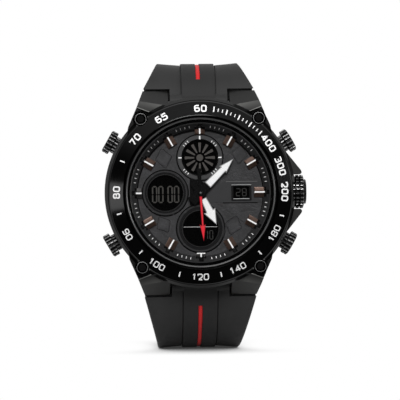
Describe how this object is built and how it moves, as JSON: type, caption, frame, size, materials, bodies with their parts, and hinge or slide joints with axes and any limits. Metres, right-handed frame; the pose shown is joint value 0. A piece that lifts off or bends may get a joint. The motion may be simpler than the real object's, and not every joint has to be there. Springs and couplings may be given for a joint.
{
  "type": "chronograph wrist watch",
  "caption": "Round analogue and digital wrist watch with a scaled bezel, three sub-dials, side pushers, a fluted crown and a striped rubber strap with a pin buckle.",
  "frame": {"origin": "centre of the case back's outer face", "axes": "+Z out of the dial, +Y towards 12 o'clock, +X towards 3 o'clock and the crown"},
  "size_m": [0.0509, 0.0722, 0.0765],
  "materials": {
    "case_black": "satin black plating on steel",
    "steel_back": "brushed",
    "seal_rubber": "smooth",
    "bright_steel": "bright",
    "bezel_black": "polished black plating",
    "insert_gloss": "polished black with white printed scale",
    "screw_black": "black plating",
    "crystal_glass": "polished mineral glass",
    "gasket_plastic": "smooth",
    "dial_grey": "matt grained",
    "chapter_grey": "matt with printed ticks",
    "marker_copper": "copper-toned with a white stripe",
    "subdial_grey": "satin",
    "lcd_dark": "dark display glass",
    "holder_plastic": "moulded",
    "brass_plate": "satin",
    "brass_wheel": "satin",
    "board_green": "solder mask",
    "copper_wire": "enamelled wire",
    "crown_black": "polished black plating",
    "hand_white": "white with luminous fill",
    "hand_red": "red lacquer",
    "strap_rubber": "matt moulded",
    "stripe_red": "matt moulded",
    "buckle_black": "satin black plating"
  },
  "bodies": {
    "case": {"case_middle": "case_black", "case_back": "steel_back", "back_gasket": "seal_rubber", "back_screws": "bright_steel", "bezel_ring": "bezel_black", "bezel_insert": "insert_gloss", "bezel_screws": "screw_black", "crystal": "crystal_glass", "crystal_gasket": "gasket_plastic", "dial_plate": "dial_grey", "chapter_ring": "chapter_grey", "hour_markers": "marker_copper", "subdial_ring_12": "subdial_grey", "subdial_ring_9": "subdial_grey", "subdial_ring_6": "subdial_grey", "date_frame": "subdial_grey", "lcd_panel": "lcd_dark", "movement_holder": "holder_plastic", "main_plate": "brass_plate", "circuit_board": "board_green", "battery": "bright_steel", "battery_clip": "bright_steel", "stepper_coil": "copper_wire", "buzzer": "brass_plate", "crown_tube": "bright_steel", "pusher_tubes": "crown_black", "pusher_gaskets": "seal_rubber", "spring_bars": "bright_steel"},
    "setting": {"setting_yoke": "bright_steel"},
    "crown": {"crown": "crown_black", "winding_stem": "bright_steel", "crown_gasket": "seal_rubber"},
    "hour": {"hour_hand": "hand_white", "hour_wheel": "brass_wheel"},
    "minute": {"minute_hand": "hand_white", "cannon_pinion": "brass_wheel"},
    "second": {"second_hand": "hand_red", "seconds_arbor": "bright_steel"},
    "motion_wheel": {"minute_wheel": "brass_wheel"},
    "train_wheel": {"third_wheel": "brass_wheel"},
    "strap_upper": {"strap_12": "strap_rubber", "stripe_12": "stripe_red"},
    "strap_lower": {"strap_6": "strap_rubber", "stripe_6": "stripe_red"},
    "keeper": {"strap_keeper": "strap_rubber"},
    "buckle": {"buckle_frame": "buckle_black", "buckle_bar": "bright_steel"},
    "tang": {"buckle_tang": "buckle_black"},
    "pusher_2": {"pusher_head_2": "crown_black", "pusher_clip_2": "bright_steel", "pusher_spring_2": "bright_steel"},
    "pusher_4": {"pusher_head_4": "crown_black", "pusher_clip_4": "bright_steel", "pusher_spring_4": "bright_steel"},
    "pusher_8": {"pusher_head_8": "crown_black", "pusher_clip_8": "bright_steel", "pusher_spring_8": "bright_steel"},
    "pusher_10": {"pusher_head_10": "crown_black", "pusher_clip_10": "bright_steel", "pusher_spring_10": "bright_steel"}
  },
  "joints": [
    {"name": "crown_pull", "type": "slide", "parent": "case", "child": "setting", "axis": [1, 0, 0], "range_m": [0, 0.0011]},
    {"name": "crown_turn", "type": "hinge", "parent": "setting", "child": "crown", "pos_m": [0.02275, 0, 0.005], "axis": [1, 0, 0], "continuous": true},
    {"name": "pusher_2_press", "type": "slide", "parent": "case", "child": "pusher_2", "axis": [-0.866, -0.5, 0], "range_m": [0, 0.0008], "stiffness_N_per_m": 500, "springref_m": -0.0006, "deforming": ["pusher_spring_2"]},
    {"name": "pusher_4_press", "type": "slide", "parent": "case", "child": "pusher_4", "axis": [-0.866, 0.5, 0], "range_m": [0, 0.0008], "stiffness_N_per_m": 500, "springref_m": -0.0006, "deforming": ["pusher_spring_4"]},
    {"name": "pusher_8_press", "type": "slide", "parent": "case", "child": "pusher_8", "axis": [0.866, 0.5, 0], "range_m": [0, 0.0008], "stiffness_N_per_m": 500, "springref_m": -0.0006, "deforming": ["pusher_spring_8"]},
    {"name": "pusher_10_press", "type": "slide", "parent": "case", "child": "pusher_10", "axis": [0.866, -0.5, 0], "range_m": [0, 0.0008], "stiffness_N_per_m": 500, "springref_m": -0.0006, "deforming": ["pusher_spring_10"]},
    {"name": "minute_turn", "type": "hinge", "parent": "case", "child": "minute", "pos_m": [0, 0, 0.01025], "axis": [0, 0, 1], "continuous": true},
    {"name": "hour_turn", "type": "hinge", "parent": "case", "child": "hour", "pos_m": [0, 0, 0.0098], "axis": [0, 0, 1], "continuous": true},
    {"name": "second_turn", "type": "hinge", "parent": "case", "child": "second", "pos_m": [0, 0, 0.01075], "axis": [0, 0, 1], "continuous": true},
    {"name": "motion_wheel_turn", "type": "hinge", "parent": "case", "child": "motion_wheel", "pos_m": [0.00061, 0.00345, 0.00635], "axis": [0, 0, 1], "continuous": true},
    {"name": "train_wheel_turn", "type": "hinge", "parent": "case", "child": "train_wheel", "pos_m": [-0.00319, -0.00116, 0.00635], "axis": [0, 0, 1], "continuous": true},
    {"name": "strap_upper_swing", "type": "hinge", "parent": "case", "child": "strap_upper", "pos_m": [0, 0.0225, 0.0036], "axis": [1, 0, 0], "range_deg": [0, 30]},
    {"name": "strap_lower_swing", "type": "hinge", "parent": "case", "child": "strap_lower", "pos_m": [0, -0.0225, 0.0036], "axis": [-1, 0, 0], "range_deg": [0, 30]},
    {"name": "keeper_slide", "type": "slide", "parent": "strap_upper", "child": "keeper", "axis": [0, -0.2557, -0.9668], "range_m": [-0.004, 0.004]},
    {"name": "buckle_turn", "type": "hinge", "parent": "strap_upper", "child": "buckle", "pos_m": [0, 0.02069, -0.06079], "axis": [1, 0, 0], "range_deg": [-5, 125]},
    {"name": "tang_turn", "type": "hinge", "parent": "buckle", "child": "tang", "pos_m": [0, 0.02069, -0.06079], "axis": [-1, 0, 0], "range_deg": [0, 60]}
  ],
  "couplings": [
    {"joint": "hour_turn", "follows": "minute_turn", "ratio": 0.083333},
    {"joint": "second_turn", "follows": "minute_turn", "ratio": 60},
    {"joint": "motion_wheel_turn", "follows": "minute_turn", "ratio": -0.33333},
    {"joint": "train_wheel_turn", "follows": "minute_turn", "ratio": -8}
  ]
}
